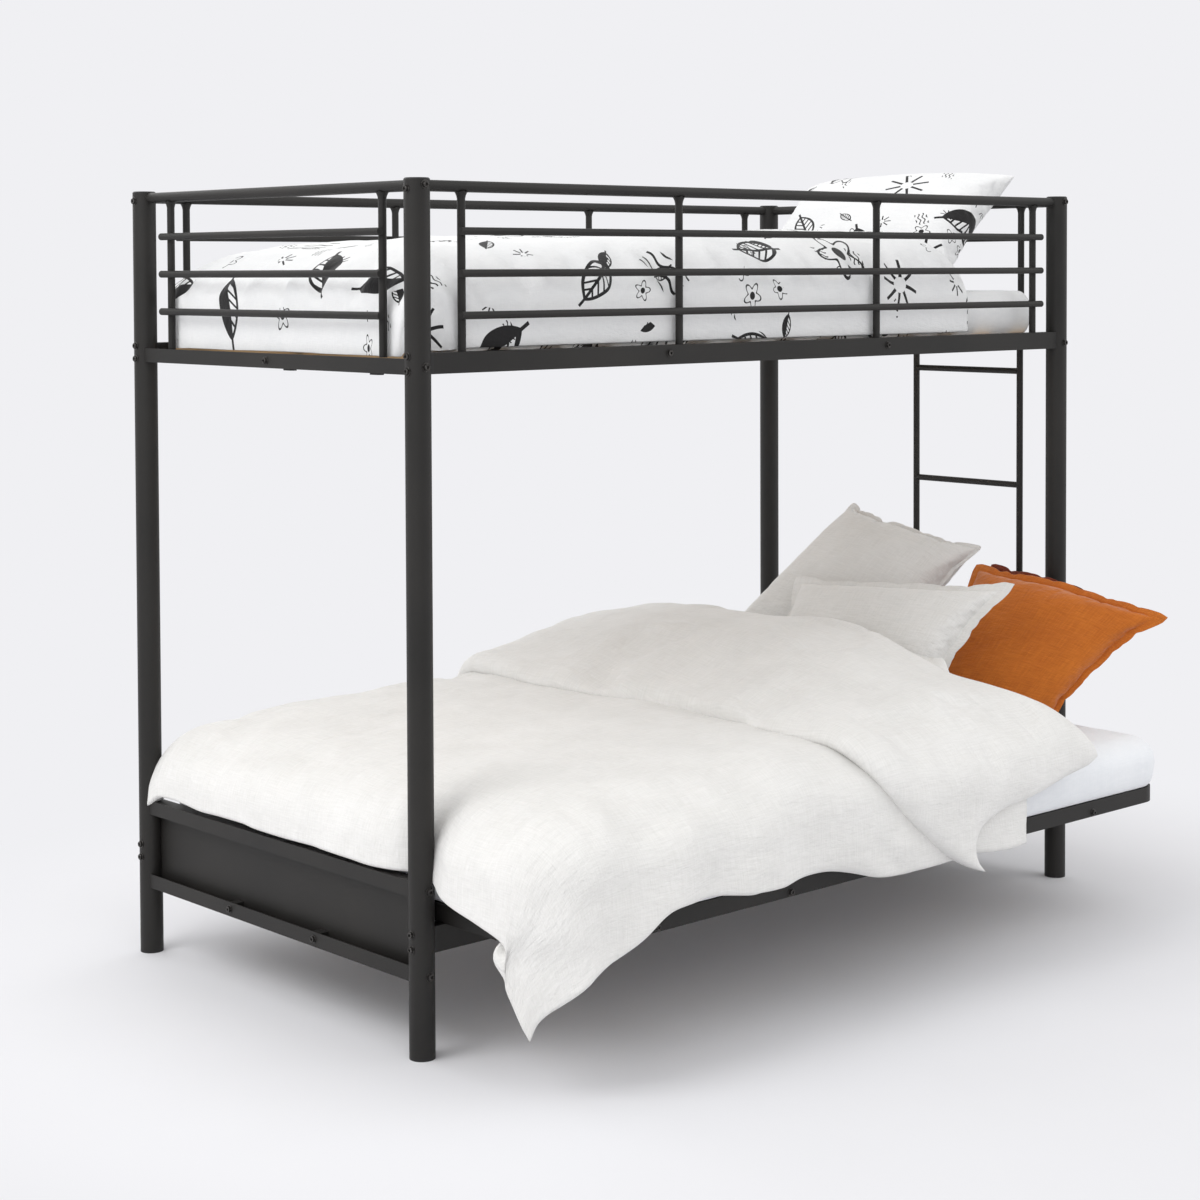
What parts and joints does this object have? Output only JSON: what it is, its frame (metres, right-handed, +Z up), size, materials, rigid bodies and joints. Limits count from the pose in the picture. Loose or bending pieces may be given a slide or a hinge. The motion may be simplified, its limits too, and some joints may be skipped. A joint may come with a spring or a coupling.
{
  "type": "bunk bed frame with fold-out sofa bed",
  "caption": "Dark steel bunk frame with a guarded high single bed, an end ladder and a low fold-out double sofa bed, made up with bedding.",
  "frame": {"origin": "on the floor, in the middle of the whole outline, bedding included", "axes": "+X along the beds from the plain end to the ladder end, +Y from the open front to the back, +Z up"},
  "size_m": [2.01, 1.4129, 1.743],
  "materials": {
    "frame_metal": "matte textured powder coat",
    "black_plastic": "moulded, matte",
    "slat_wood": "plain sawn pine",
    "zinc_steel": "bright zinc",
    "mattress_cover": "quilted knit",
    "white_linen": "washed linen",
    "printed_cotton": "white cotton with black line drawing",
    "ochre_linen": "washed linen",
    "rust_linen": "washed linen"
  },
  "bodies": {
    "frame": {"post_front_left": "frame_metal", "post_front_right": "frame_metal", "post_back_left": "frame_metal", "post_back_right": "frame_metal", "post_caps": "black_plastic", "foot_caps": "black_plastic", "guard_front": "frame_metal", "guard_back": "frame_metal", "guard_left": "frame_metal", "guard_right": "frame_metal", "side_rail_front": "frame_metal", "side_rail_back": "frame_metal", "cross_tubes": "frame_metal", "end_rail_left": "frame_metal", "end_rail_right": "frame_metal", "low_end_top_left": "frame_metal", "low_end_top_right": "frame_metal", "low_end_bottom_left": "frame_metal", "low_end_bottom_right": "frame_metal", "centre_tube": "frame_metal", "upper_slats": "slat_wood", "rail_saddles": "black_plastic", "ladder": "frame_metal", "long_rail_front": "frame_metal", "long_rail_back": "frame_metal", "base_tubes": "frame_metal", "end_panel_left": "frame_metal", "end_panel_right": "frame_metal", "rail_pads": "black_plastic", "fold_bracket_left": "frame_metal", "fold_bracket_right": "frame_metal", "pivot_pins": "zinc_steel", "high_mattress": "mattress_cover", "high_duvet": "printed_cotton", "high_pillow": "printed_cotton"},
    "seat": {"seat_frame": "frame_metal", "seat_slats": "slat_wood", "seat_slat_holders": "black_plastic", "seat_hinge_left": "zinc_steel", "seat_hinge_right": "zinc_steel", "ratchet_pawls": "zinc_steel", "low_mattress_front": "mattress_cover", "low_mattress_crease": "mattress_cover", "low_duvet": "white_linen", "white_pillow_front": "white_linen", "ochre_pillow": "ochre_linen", "rust_pillow": "rust_linen"},
    "backrest": {"back_frame": "frame_metal", "back_slats": "slat_wood", "back_slat_holders": "black_plastic", "back_ratchet_left": "zinc_steel", "back_ratchet_right": "zinc_steel", "low_mattress_back": "mattress_cover", "white_pillow_back": "white_linen"}
  },
  "joints": [
    {"name": "seat_tilt", "type": "hinge", "parent": "frame", "child": "seat", "pos_m": [0, 0.031, 0.2678], "axis": [-1, 0, 0], "range_deg": [0, 8.1]},
    {"name": "backrest_fold", "type": "hinge", "parent": "seat", "child": "backrest", "pos_m": [0, 0.031, 0.2678], "axis": [1, 0, 0], "range_deg": [0, 75], "deforming": ["low_mattress_crease", "low_duvet", "white_pillow_front", "white_pillow_back", "ochre_pillow", "rust_pillow"]}
  ],
  "couplings": [
    {"joint": "seat_tilt", "follows": "backrest_fold", "ratio": 0.107}
  ]
}
